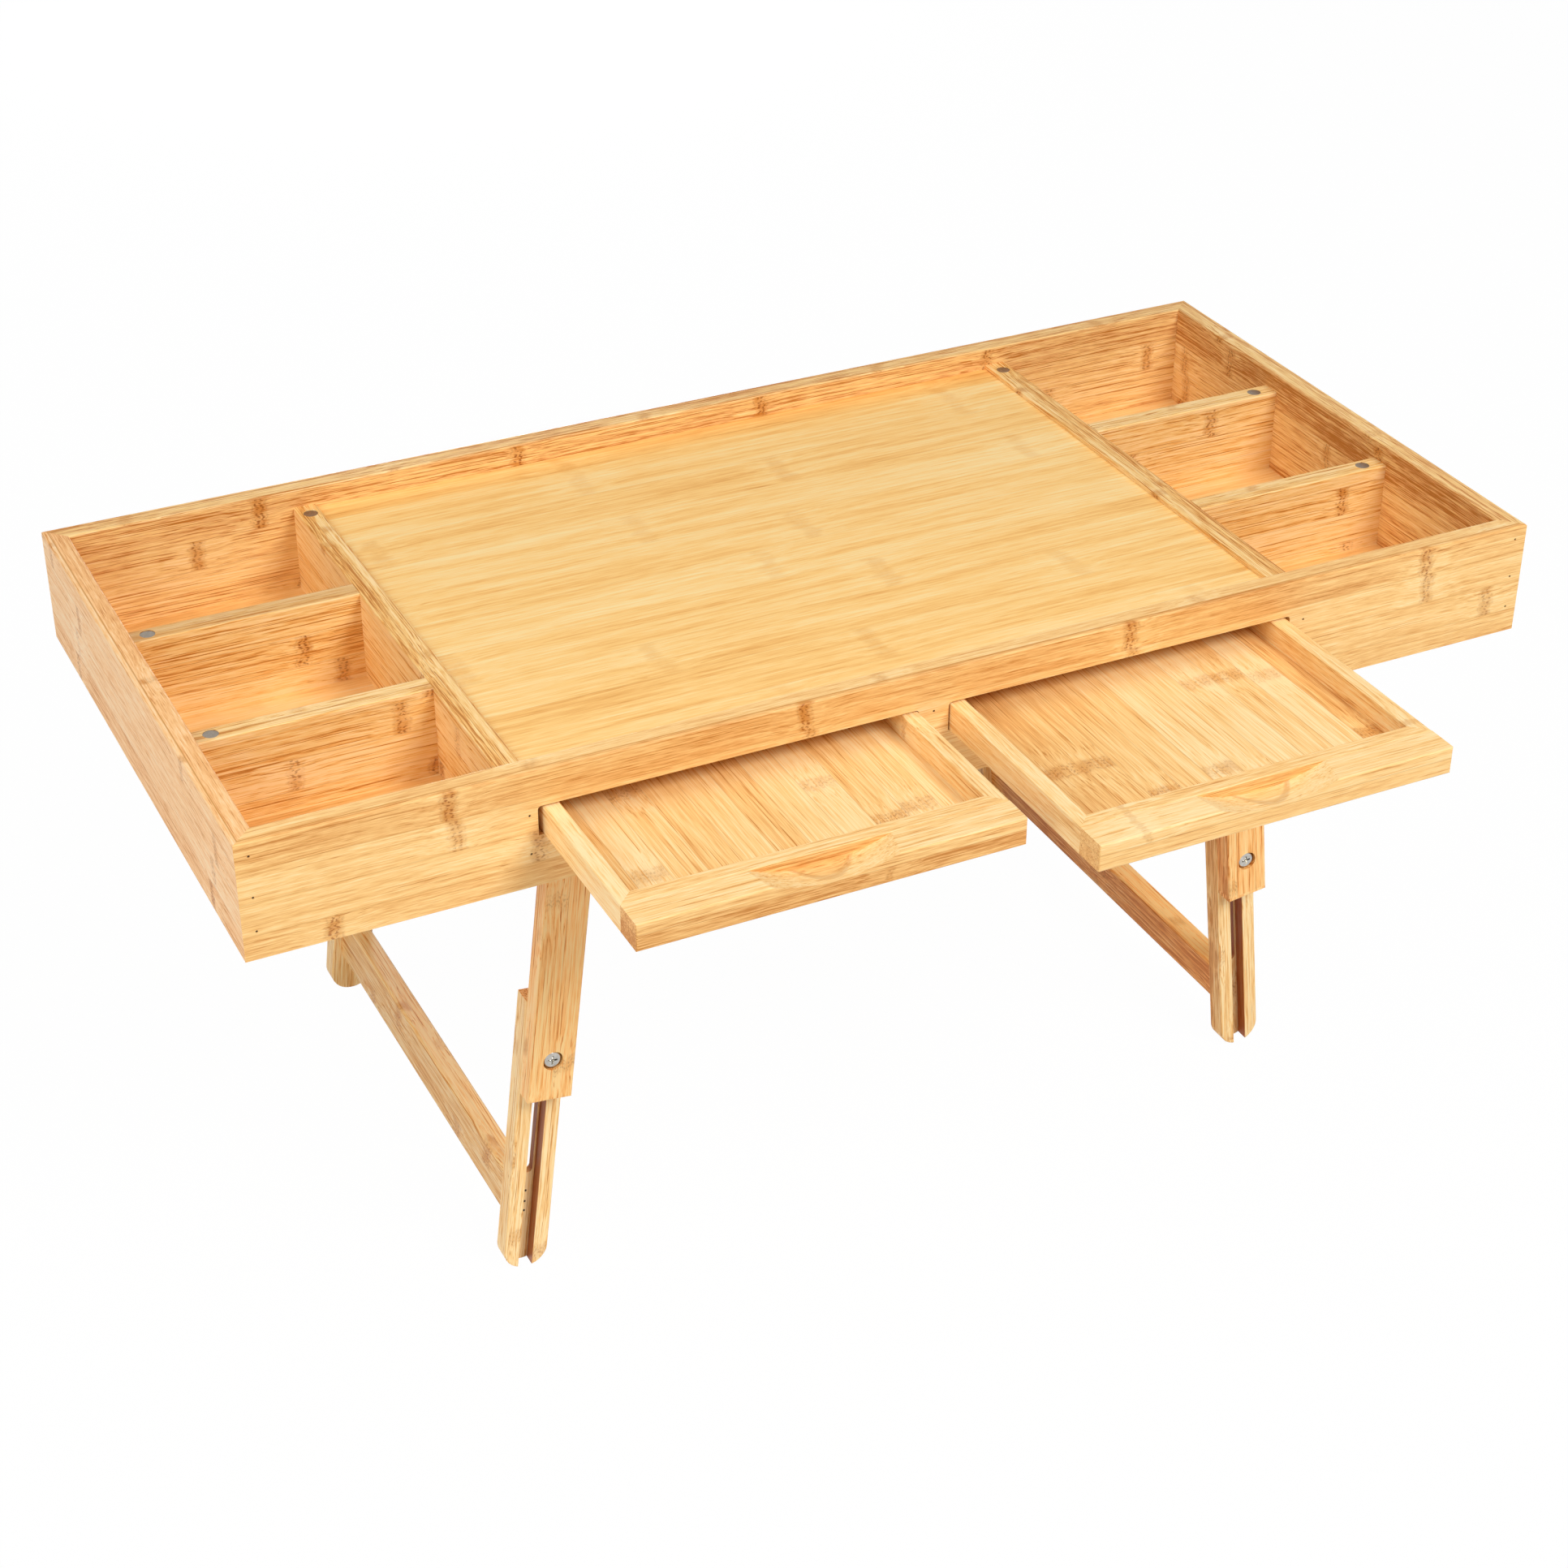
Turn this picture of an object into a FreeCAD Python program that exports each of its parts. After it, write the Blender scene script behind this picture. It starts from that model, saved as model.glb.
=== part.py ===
import FreeCAD, Part
import math
import os
import Sketcher
from types import SimpleNamespace
from FreeCAD import Placement, Rotation, Vector

# A bamboo puzzle table: a shallow case with a board between two divided trays,
# two drawers under the board, and two pairs of folding, telescoping legs.
# Frame: X along the case, Y from front to back, Z up from the floor, in millimetres.

# Driving dimensions, each a cell of the sheet
driving = {
    # case
    "case_depth": 425,
    "wall_thickness": 15,
    "partition_thickness": 16,
    "partition_drop": 13,
    "tray_length": 154.5,
    "tray_floor_thickness": 5,
    "tray_rebate": 6,
    "divider_thickness": 15,
    "divider_drop": 13,
    "board_recess": 16.3,
    "board_thickness": 5.5,
    "board_tongue": 5,
    "board_gap": 3.2,
    "deck_thickness": 4,
    "deck_tongue": 5,
    "web_width": 21,
    "opening_shift": 2.8,
    "opening_corner": 2.5,
    "guide_width": 17,
    "rim_ease": 1.5,
    "board_edge_ease": 1,
    # drawers
    "drawer_width": 250,
    "drawer_height": 18.5,
    "drawer_length": 400,
    "drawer_frame_thickness": 11,
    "drawer_front_thickness": 22,
    "drawer_bottom_thickness": 3,
    "drawer_rebate": 5,
    "drawer_ease": 0.8,
    "drawer_front_ease": 1.2,
    "drawer_side_clearance": 2,
    "drawer_headroom": 1.2,
    "left_drawer_shift": 1.35,
    "right_drawer_shift": 3.8,
    "left_drawer_pull": 135,
    "right_drawer_pull": 179,
    "scoop_radius": 125,
    "scoop_front_depth": 7,
    "scoop_back_depth": 9,
    # legs
    "leg_width": 30,
    "leg_thickness": 15,
    "leg_splay": 7,
    "leg_ease": 1.2,
    "leg_wall_gap": 1,
    "fold_clearance": 0.5,
    "pivot_offset": 25.2,
    "head_round": 13,
    "upper_leg_reach": 192.5,
    "leg_overlap": 68,
    "foot_round": 14.5,
    "groove_width": 10,
    "groove_depth": 9.5,
    "tongue_length": 58,
    "tongue_clearance": 0.3,
    "retract_travel": 101,
    "extend_travel": 4.5,
    "slot_clearance": 0.5,
    "stretcher_gap": 10,
    "foot_length": 29,
    "stretcher_height": 31,
    "stretcher_thickness": 16,
    "stretcher_ease": 2.5,
    # hardware
    "magnet_radius": 5,
    "magnet_thickness": 3,
    "magnet_sink": 0.3,
    "divider_magnet_inset": 15,
    "partition_magnet_inset": 13,
    "brad_radius": 0.8,
    "brad_length": 30,
    "brad_sink": 0.6,
    "brad_inset": 8.5,
    "nail_radius": 0.9,
    "nail_length": 25,
    "bolt_radius": 3,
    "bolt_head_radius": 6,
    "bolt_head_height": 4,
    "bolt_head_ease": 1.4,
    "cross_length": 6.4,
    "cross_width": 1.3,
    "cross_depth": 2,
    "bolt_sink": 1.2,
    "bolt_end_from_leg_end": 30,
    "counterbore_radius": 6.75,
    "bolt_tail": 17,
    "insert_radius": 4.5,
    "insert_length": 10,
    "washer_radius": 7,
    "washer_thickness": 1.2,
    "wing_hub_radius": 5.5,
    "wing_hub_length": 5,
    "wing_span": 25,
    "wing_thickness": 2.6,
    "wing_height": 12,
    "wing_round": 4.5,
    "wing_gap": 9,
    # fits
    "running_clearance": 0.3,
    "shaft_clearance": 0.05,
    "overrun": 2,
}

# Heights of the brads, as shares of the case height
corner_brad_shares = (0.24, 0.53, 0.88)
partition_brad_shares = (0.29, 0.625)
web_brad_share = 0.645
# Places of the stretcher nails, as shares of the stretcher height
nail_shares = (0.14, 0.42, 0.66)


class Size:
    """A number together with the sheet expression that gives it."""

    def __init__(self, value, text):
        self.value = value
        self.text = text

    def joined(self, sign, other, value):
        return Size(value, f"({self.text} {sign} {other.text})")

    def __add__(self, other):
        other = size_of(other)
        return self.joined("+", other, self.value + other.value)

    def __radd__(self, other):
        return size_of(other) + self

    def __sub__(self, other):
        other = size_of(other)
        return self.joined("-", other, self.value - other.value)

    def __rsub__(self, other):
        return size_of(other) - self

    def __mul__(self, other):
        other = size_of(other)
        return self.joined("*", other, self.value * other.value)

    def __rmul__(self, other):
        return size_of(other) * self

    def __truediv__(self, other):
        other = size_of(other)
        return self.joined("/", other, self.value / other.value)

    def __neg__(self):
        return size_of(0) - self


def size_of(item):
    return item if isinstance(item, Size) else Size(float(item), repr(float(item)))


def sine(angle):
    return Size(math.sin(math.radians(angle.value)), f"sin({angle.text})")


def cosine(angle):
    return Size(math.cos(math.radians(angle.value)), f"cos({angle.text})")


def arctangent(ratio):
    return Size(math.degrees(math.atan(ratio.value)), f"atan({ratio.text})")


doc = FreeCAD.newDocument("puzzle_table")
sheet = doc.addObject("Spreadsheet::Sheet", "Sizes")
for row, (name, number) in enumerate(driving.items(), start=1):
    sheet.set(f"A{row}", str(number))
    sheet.setAlias(f"A{row}", name)
doc.recompute()
d = SimpleNamespace(**{name: Size(float(number), f"Sizes.{name}") for name, number in driving.items()})

# Heights inside the case, measured up from its underside
deck_bottom = d.leg_width + 2 * d.fold_clearance
deck_top = deck_bottom + d.deck_thickness
drawer_bottom = deck_top + d.running_clearance
opening_top = drawer_bottom + d.drawer_height + d.drawer_headroom
board_bottom = opening_top + d.board_gap
board_top = board_bottom + d.board_thickness
case_height = board_top + d.board_recess
partition_top = case_height - d.partition_drop
divider_top = case_height - d.divider_drop
# Places along the case and across it, measured from its middle
opening_width = d.drawer_width + 2 * d.drawer_side_clearance
partition_inner = d.web_width / 2 + opening_width
partition_outer = partition_inner + d.partition_thickness
inner_half = partition_outer + d.tray_length
half_length = inner_half + d.wall_thickness
half_depth = d.case_depth / 2
inner_depth = half_depth - d.wall_thickness
divider_middle = (inner_depth + d.divider_thickness / 2) / 3
drawer_middle = d.web_width / 2 + opening_width / 2
# Legs, measured from their pivots: u across the leg, v up the leg, y in from the wall
half_leg = d.leg_width / 2
pivot_x = partition_inner - d.pivot_offset
pivot_z = half_leg + d.fold_clearance
leg_face = inner_depth - d.leg_wall_gap
head_height = (pivot_z - d.running_clearance - half_leg * sine(d.leg_splay)) / cosine(d.leg_splay)
bolt_v = d.bolt_end_from_leg_end - d.upper_leg_reach
lower_face = d.leg_thickness + d.running_clearance
lower_back = lower_face + d.leg_thickness
lower_leg_start = d.upper_leg_reach - d.leg_overlap
slot_radius = d.bolt_radius + d.slot_clearance
slot_low = bolt_v - d.retract_travel
slot_high = bolt_v + d.extend_travel
stretcher_top = slot_low - slot_radius - d.stretcher_gap
stretcher_bottom = stretcher_top - d.stretcher_height
leg_reach = d.foot_length - stretcher_bottom
foot_offset = half_leg - d.foot_round
pivot_height = (
    d.foot_round
    + (leg_reach - d.foot_round) * cosine(d.leg_splay)
    + foot_offset * sine(d.leg_splay)
)
# The case stands on its legs, and the open drawers move the middle of the whole part forwards
case_lift = pivot_height - pivot_z
longest_pull = d.left_drawer_pull
if d.right_drawer_pull.value > d.left_drawer_pull.value:
    longest_pull = d.right_drawer_pull
case_shift = longest_pull / 2

nodes = []


def bind(item, prop, size):
    item.setExpression(prop, size_of(size).text)


def set_base(item, place):
    for axis, size in zip("xyz", place):
        bind(item, f"Placement.Base.{axis}", size)


def span(side, near, far):
    """The low and high ends of a stretch that lies near..far on one side of the middle."""
    return (near, far) if side > 0 else (-far, -near)


def new_body(label, place=None, turn=None):
    """A body that becomes a node. Place is measured from the middle of the case underside."""
    body = doc.addObject("PartDesign::Body", label)
    body.Label = label
    x, y, z = place or (0, 0, 0)
    if turn:
        body.Placement = Placement(Vector(), turn)
    set_base(body, (x, case_shift + y, case_lift + z))
    nodes.append(body)
    return body


def box(body, low, high, cut=False):
    """A block between two corners, added to the body or cut from it."""
    kind = "PartDesign::SubtractiveBox" if cut else "PartDesign::AdditiveBox"
    block = body.newObject(kind, "Recess" if cut else "Blank")
    for prop, start, end in zip(("Length", "Width", "Height"), low, high):
        bind(block, prop, size_of(end) - start)
    set_base(block, low)
    return block


def drum(body, start, radius, length, along="y", cut=False):
    """A cylinder that runs from its start point along Y or Z."""
    kind = "PartDesign::SubtractiveCylinder" if cut else "PartDesign::AdditiveCylinder"
    round_part = body.newObject(kind, "Bore" if cut else "Round")
    if along == "y":
        round_part.Placement = Placement(Vector(), Rotation(Vector(1, 0, 0), -90))
    bind(round_part, "Radius", radius)
    bind(round_part, "Height", length)
    set_base(round_part, start)
    return round_part


def pad_outline(body, corners, height):
    """A straight-sided plan, every corner bound to the sheet, padded upwards."""
    sketch = body.newObject("Sketcher::SketchObject", "Plan")
    plane = [item for item in body.Origin.OriginFeatures if item.Role == "XY_Plane"][0]
    sketch.AttachmentSupport = (plane, [""])
    sketch.MapMode = "FlatFace"
    points = [Vector(size_of(x).value, size_of(y).value, 0) for x, y in corners]
    count = len(points)
    for index in range(count):
        sketch.addGeometry(Part.LineSegment(points[index], points[(index + 1) % count]), False)
    for index in range(count):
        sketch.addConstraint(Sketcher.Constraint("Coincident", index, 2, (index + 1) % count, 1))
    for index, corner in enumerate(corners):
        for kind, size in zip(("DistanceX", "DistanceY"), corner):
            value = size_of(size).value
            number = sketch.addConstraint(Sketcher.Constraint(kind, -1, 1, index, 1, value))
            bind(sketch, f"Constraints[{number}]", size)
    pad = body.newObject("PartDesign::Pad", "Pad")
    pad.Profile = sketch
    bind(pad, "Length", height)
    sketch.Visibility = False
    return pad


def ease(body, radius, wanted):
    """Round the edges of the body's last feature that the test picks."""
    doc.recompute()
    last = body.Tip
    edges = [f"Edge{number}" for number, edge in enumerate(last.Shape.Edges, start=1) if wanted(edge)]
    fillet = body.newObject("PartDesign::Fillet", "Ease")
    fillet.Base = (last, edges)
    bind(fillet, "Radius", radius)
    return fillet


def lies_at(edge, axis, size):
    """Whether an edge lies wholly at one height, depth or length."""
    limits = edge.BoundBox
    low, high = {
        "x": (limits.XMin, limits.XMax),
        "y": (limits.YMin, limits.YMax),
        "z": (limits.ZMin, limits.ZMax),
    }[axis]
    value = size_of(size).value
    return not round(low - value, 3) and not round(high - value, 3)


def group(label, pieces):
    """Separate solids that share one node."""
    compound = doc.addObject("Part::Compound", label)
    compound.Label = label
    compound.Links = pieces
    nodes.append(compound)
    return compound


def loose_pin(name, start, radius, length, along="y"):
    """A plain round pin, part of a group, placed from the middle of the case underside."""
    pin = doc.addObject("Part::Cylinder", name)
    if along == "y":
        pin.Placement = Placement(Vector(), Rotation(Vector(1, 0, 0), -90))
    bind(pin, "Radius", radius)
    bind(pin, "Height", length)
    x, y, z = start
    set_base(pin, (x, case_shift + y, case_lift + z))
    return pin


def mitred_member(label, edge, half_x, half_y, thickness, height, radius, place=None):
    """One side of a rectangular frame with mitred corners and eased top edges."""
    in_x = half_x - thickness
    in_y = half_y - thickness
    corners = {
        "front": ((-half_x, -half_y), (half_x, -half_y), (in_x, -in_y), (-in_x, -in_y)),
        "back": ((half_x, half_y), (-half_x, half_y), (-in_x, in_y), (in_x, in_y)),
        "left": ((-half_x, half_y), (-half_x, -half_y), (-in_x, -in_y), (-in_x, in_y)),
        "right": ((half_x, -half_y), (half_x, half_y), (in_x, in_y), (in_x, -in_y)),
    }[edge]
    body = new_body(label, place)
    pad_outline(body, corners, height)
    long_enough = 2 * thickness.value
    ease(body, radius, lambda item: lies_at(item, "z", height) and item.Length > long_enough)
    return body


# Brads: the small nails through the front and back panels
brad_places = []
for side in (-1, 1):
    for share in corner_brad_shares:
        brad_places.append((side * (half_length - d.brad_inset), share * case_height, "side"))
    for share in partition_brad_shares:
        middle = partition_inner + d.partition_thickness / 2
        brad_places.append((side * middle, share * case_height, "partition"))
brad_places.append((-d.opening_shift, web_brad_share * case_height, "guide"))


def brad_start(facing, sink):
    """Where a brad's low-Y end lies, on the front (-1) or the back (1) panel."""
    if facing < 0:
        return sink - half_depth
    return half_depth - d.brad_length


def brad_holes(body, facings, into, side=0):
    """Holes for the brads that enter a piece."""
    for x, z, piece in brad_places:
        if into and (piece != into or side * x.value < 0):
            continue
        for facing in facings:
            start = brad_start(facing, -d.overrun)
            drum(body, (x, start, z), d.brad_radius, d.brad_length + d.overrun, cut=True)


# The four panels of the case
def wall_cuts(body, facing):
    """Grooves, rebates and bores on the inner face of the front (-1) or back (1) panel."""
    for tongue, reach, low, high in (
        (d.board_tongue, partition_inner + d.board_tongue, board_bottom, board_top),
        (d.deck_tongue, partition_inner + d.deck_tongue, deck_bottom, deck_top),
    ):
        near, far = span(facing, inner_depth - d.overrun, inner_depth + tongue)
        box(body, (-reach, near, low), (reach, far, high), cut=True)
    near, far = span(facing, inner_depth - d.overrun, inner_depth + d.tray_rebate)
    for side in (-1, 1):
        left, right = span(side, partition_outer - d.tray_rebate, inner_half + d.tray_rebate)
        box(body, (left, near, -d.overrun), (right, far, d.tray_floor_thickness), cut=True)
        bore_near, _ = span(facing, inner_depth - d.overrun, inner_depth + d.insert_length)
        bore = (side * pivot_x, bore_near, pivot_z)
        drum(body, bore, d.insert_radius, d.insert_length + d.overrun, cut=True)
    brad_holes(body, (facing,), None)


panel_sizes = (half_length, half_depth, d.wall_thickness, case_height, d.rim_ease)
front_panel = mitred_member("front_panel", "front", *panel_sizes)
for side in (-1, 1):
    left, right = (edge - d.opening_shift for edge in span(side, d.web_width / 2, partition_inner))
    low = (left, -half_depth - d.overrun, deck_top)
    box(front_panel, low, (right, d.overrun - inner_depth, opening_top), cut=True)
ease(
    front_panel,
    d.opening_corner,
    lambda item: lies_at(item, "z", opening_top) and not round(item.BoundBox.XLength, 3),
)
wall_cuts(front_panel, -1)
back_panel = mitred_member("back_panel", "back", *panel_sizes)
wall_cuts(back_panel, 1)
for side, word in ((-1, "left"), (1, "right")):
    panel = mitred_member(f"{word}_side_panel", word, *panel_sizes)
    near, far = span(side, inner_half - d.overrun, inner_half + d.tray_rebate)
    reach = inner_depth + d.tray_rebate
    box(panel, (near, -reach, -d.overrun), (far, reach, d.tray_floor_thickness), cut=True)
    brad_holes(panel, (-1, 1), "side", side)

# Partitions between the board and the trays
magnet_places = []
for side, word in ((-1, "left"), (1, "right")):
    partition = new_body(f"{word}_partition")
    left, right = span(side, partition_inner, partition_outer)
    box(partition, (left, -inner_depth, 0), (right, inner_depth, partition_top))
    ease(
        partition,
        d.board_edge_ease,
        lambda item: lies_at(item, "z", partition_top) and item.Length > inner_depth.value,
    )
    reach = inner_depth + d.overrun
    for tongue, low, high in (
        (d.board_tongue, board_bottom, board_top),
        (d.deck_tongue, deck_bottom, deck_top),
    ):
        left, right = span(side, partition_inner - d.overrun, partition_inner + tongue)
        box(partition, (left, -reach, low), (right, reach, high), cut=True)
    left, right = span(side, partition_outer - d.tray_rebate, partition_outer + d.overrun)
    box(partition, (left, -reach, -d.overrun), (right, reach, d.tray_floor_thickness), cut=True)
    brad_holes(partition, (-1, 1), "partition", side)
    for end in (-1, 1):
        x = side * (partition_inner + d.partition_thickness / 2)
        y = end * (inner_depth - d.partition_magnet_inset)
        seat = (x, y, partition_top - d.magnet_sink - d.magnet_thickness)
        drum(partition, seat, d.magnet_radius, d.magnet_thickness + d.overrun, along="z", cut=True)
        magnet_places.append(seat)

# Board, deck and the guide between the drawers
puzzle_board = new_body("puzzle_board")
reach = (partition_inner + d.board_tongue, inner_depth + d.board_tongue)
box(puzzle_board, (-reach[0], -reach[1], board_bottom), (reach[0], reach[1], board_top))
drawer_deck = new_body("drawer_deck")
reach = (partition_inner + d.deck_tongue, inner_depth + d.deck_tongue)
box(drawer_deck, (-reach[0], -reach[1], deck_bottom), (reach[0], reach[1], deck_top))
guide = new_body("drawer_centre_guide")
left, right = (edge - d.opening_shift for edge in (-d.guide_width / 2, d.guide_width / 2))
box(guide, (left, -inner_depth, deck_top), (right, inner_depth, board_bottom))
brad_holes(guide, (-1, 1), "guide")

# Trays: floors in rebates and dividers between the cells
for side, word in ((-1, "left"), (1, "right")):
    tray_floor = new_body(f"{word}_tray_floor")
    left, right = span(side, partition_outer - d.tray_rebate, inner_half + d.tray_rebate)
    reach = inner_depth + d.tray_rebate
    box(tray_floor, (left, -reach, 0), (right, reach, d.tray_floor_thickness))
    for end, place_word in ((-1, "front"), (1, "back")):
        divider = new_body(f"{word}_{place_word}_divider")
        left, right = span(side, partition_outer, inner_half)
        middle = end * divider_middle
        half = d.divider_thickness / 2
        box(divider, (left, middle - half, d.tray_floor_thickness), (right, middle + half, divider_top))
        ease(
            divider,
            d.board_edge_ease,
            lambda item: lies_at(item, "z", divider_top) and item.Length > d.divider_thickness.value * 2,
        )
        x = side * (inner_half - d.divider_magnet_inset)
        seat = (x, middle, divider_top - d.magnet_sink - d.magnet_thickness)
        drum(divider, seat, d.magnet_radius, d.magnet_thickness + d.overrun, along="z", cut=True)
        magnet_places.append(seat)

magnets = [loose_pin("Magnet", seat, d.magnet_radius, d.magnet_thickness, "z") for seat in magnet_places]
group("lid_magnets", magnets)
brads = []
for x, z, piece in brad_places:
    for facing in (-1, 1):
        start = (x, brad_start(facing, d.brad_sink), z)
        brads.append(loose_pin("Brad", start, d.brad_radius, d.brad_length - d.brad_sink))
group("panel_brads", brads)


# Drawers
def drawer(word, side, pull, shift):
    """A mitred frame with a bottom in a rebate, and an applied front with a finger scoop."""
    frame_length = d.drawer_length - d.drawer_front_thickness
    half_x = d.drawer_width / 2
    half_y = frame_length / 2
    front_y = -half_depth - pull
    middle_x = side * drawer_middle - shift
    middle = (middle_x, front_y + d.drawer_front_thickness + half_y, drawer_bottom)
    floor_x = half_x - d.drawer_frame_thickness + d.drawer_rebate
    floor_y = half_y - d.drawer_frame_thickness + d.drawer_rebate
    pieces = {"front": "inner_rail", "back": "back", "left": "left_side", "right": "right_side"}
    for edge, piece in pieces.items():
        sizes = (half_x, half_y, d.drawer_frame_thickness, d.drawer_height, d.drawer_ease)
        member = mitred_member(f"{word}_drawer_{piece}", edge, *sizes, place=middle)
        low = (-floor_x, -floor_y, -d.overrun)
        box(member, low, (floor_x, floor_y, d.drawer_bottom_thickness), cut=True)
    bottom = new_body(f"{word}_drawer_bottom", middle)
    box(bottom, (-floor_x, -floor_y, 0), (floor_x, floor_y, d.drawer_bottom_thickness))

    front = new_body(f"{word}_drawer_front", (middle_x, front_y, drawer_bottom))
    box(front, (-half_x, 0, 0), (half_x, d.drawer_front_thickness, d.drawer_height))
    ease(front, d.drawer_front_ease, lambda item: lies_at(item, "y", 0))
    fall = (d.scoop_back_depth - d.scoop_front_depth) / d.drawer_front_thickness
    tilt = arctangent(fall)
    length = d.drawer_front_thickness + 4 * d.overrun + d.scoop_radius * fall
    scoop = drum(front, (0, 0, 0), d.scoop_radius, length, cut=True)
    scoop.Placement = Placement(Vector(), Rotation(Vector(1, 0, 0), -90 - tilt.value))
    start_depth = d.scoop_front_depth - 2 * d.overrun * fall
    rise = d.scoop_radius / cosine(tilt)
    set_base(scoop, (0, -2 * d.overrun, d.drawer_height - start_depth + rise))


drawer("left", -1, d.left_drawer_pull, d.left_drawer_shift)
drawer("right", 1, d.right_drawer_pull, d.right_drawer_shift)


# Legs, built about their pivots and then turned out by the splay
def leg_place(side, facing):
    """Turn and place of a leg on the left (-1) or right (1), at the front (-1) or back (1)."""
    hand = -side * facing
    turn = Rotation(Vector(0, 1, 0), -hand * d.leg_splay.value)
    if facing > 0:
        turn = Rotation(Vector(0, 0, 1), 180) * turn
    return hand, turn, (side * pivot_x, facing * leg_face, pivot_z)


def outline_edges(low_y, high_y):
    """A test for the edges around the wide faces of a leg."""
    return lambda item: lies_at(item, "y", low_y) or lies_at(item, "y", high_y)


def upper_leg(label, side, facing):
    hand, turn, place = leg_place(side, facing)
    body = new_body(label, place, turn)
    box(body, (-half_leg, 0, -d.upper_leg_reach), (half_leg, d.leg_thickness, head_height))
    inner = -hand * half_leg
    ease(body, d.head_round, lambda item: lies_at(item, "x", inner) and lies_at(item, "z", head_height))
    ease(body, d.leg_ease, outline_edges(0, d.leg_thickness))
    half_tongue = d.groove_width / 2 - d.tongue_clearance
    tongue_end = lower_face + d.groove_depth - d.tongue_clearance
    low = (-half_tongue, d.leg_thickness - d.overrun, d.leg_ease - d.upper_leg_reach)
    box(body, low, (half_tongue, tongue_end, d.leg_ease + d.tongue_length - d.upper_leg_reach))
    seat = d.bolt_sink + d.bolt_head_height
    drum(body, (0, -d.overrun, bolt_v), d.counterbore_radius, seat + d.overrun, cut=True)
    drum(body, (0, 0, bolt_v), d.bolt_radius + d.shaft_clearance, tongue_end + d.overrun, cut=True)
    pivot_bore = d.bolt_radius + d.shaft_clearance
    drum(body, (0, -d.overrun, 0), pivot_bore, d.leg_thickness + 2 * d.overrun, cut=True)


def nail_heights():
    return [stretcher_top - share * d.stretcher_height for share in nail_shares]


def lower_leg(label, side, facing):
    hand, turn, place = leg_place(side, facing)
    body = new_body(label, place, turn)
    box(body, (-half_leg, lower_face, -leg_reach), (half_leg, lower_back, -lower_leg_start))
    across = d.leg_thickness.value / 2
    ease(body, d.foot_round, lambda item: lies_at(item, "z", -leg_reach) and item.BoundBox.YLength > across)
    ease(body, d.leg_ease, outline_edges(lower_face, lower_back))
    half_groove = d.groove_width / 2
    low = (-half_groove, lower_face - d.overrun, -leg_reach - d.overrun)
    groove_floor = lower_face + d.groove_depth
    box(body, low, (half_groove, groove_floor, d.overrun - lower_leg_start), cut=True)
    web = lower_back - groove_floor + 2 * d.overrun
    start = groove_floor - d.overrun
    box(body, (-slot_radius, start, slot_low), (slot_radius, start + web, slot_high), cut=True)
    for end in (slot_low, slot_high):
        drum(body, (0, start, end), slot_radius, web, cut=True)
    for height in nail_heights():
        drum(body, (0, start, height), d.nail_radius, web, cut=True)


def stretcher(word, side):
    """The bar between the lower legs of a pair."""
    turn = Rotation(Vector(0, 1, 0), -side * d.leg_splay.value)
    body = new_body(f"{word}_stretcher", (side * pivot_x, 0, pivot_z), turn)
    reach = leg_face - lower_back
    half = d.stretcher_thickness / 2
    box(body, (-half, -reach, stretcher_bottom), (half, reach, stretcher_top))
    ease(body, d.stretcher_ease, lambda item: item.BoundBox.YLength > reach.value)
    depth = lower_face + d.groove_depth + d.nail_length - lower_back
    for height in nail_heights():
        drum(body, (0, -reach - d.overrun, height), d.nail_radius, depth + d.overrun, cut=True)
        drum(body, (0, reach - depth, height), d.nail_radius, depth + d.overrun, cut=True)


def leg_group(label, side, maker):
    """One small part for each leg of a pair, as separate solids of one node."""
    pieces = []
    for facing in (-1, 1):
        hand, turn, place = leg_place(side, facing)
        pieces += maker(turn, place)
    group(label, pieces)


def hidden_body(name, turn, place):
    """A body that is part of a group, not a node of its own."""
    body = new_body(name, place, turn)
    nodes.remove(body)
    return body


def clamp_bolt(turn, place):
    """A bolt with a domed, cross-recessed head sunk in the upper leg."""
    body = hidden_body("ClampBolt", turn, place)
    drum(body, (0, d.bolt_sink, bolt_v), d.bolt_head_radius, d.bolt_head_height)
    ease(body, d.bolt_head_ease, lambda item: lies_at(item, "y", d.bolt_sink))
    shank_start = d.bolt_sink + d.cross_depth
    drum(body, (0, shank_start, bolt_v), d.bolt_radius, lower_back + d.bolt_tail - shank_start)
    half_long = d.cross_length / 2
    half_wide = d.cross_width / 2
    low_y = d.bolt_sink - d.overrun
    high_y = d.bolt_sink + d.cross_depth
    for across, along in ((half_long, half_wide), (half_wide, half_long)):
        box(body, (-across, low_y, bolt_v - along), (across, high_y, bolt_v + along), cut=True)
    return [body]


def washer(name, turn, place, start, height, thickness):
    """A flat ring around a bolt."""
    body = hidden_body(name, turn, place)
    drum(body, (0, start, height), d.washer_radius, thickness)
    hole = d.bolt_radius + d.shaft_clearance
    drum(body, (0, start - d.overrun, height), hole, thickness + 2 * d.overrun, cut=True)
    return [body]


def clamp_washer(turn, place):
    return washer("ClampWasher", turn, place, lower_back + d.running_clearance, bolt_v, d.washer_thickness)


def stretcher_nail(turn, place):
    """The nails through the groove of a lower leg into the end of the stretcher."""
    bodies = []
    for height in nail_heights():
        body = hidden_body("StretcherNail", turn, place)
        drum(body, (0, lower_face + d.groove_depth, height), d.nail_radius, d.nail_length)
        bodies.append(body)
    return bodies


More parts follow.
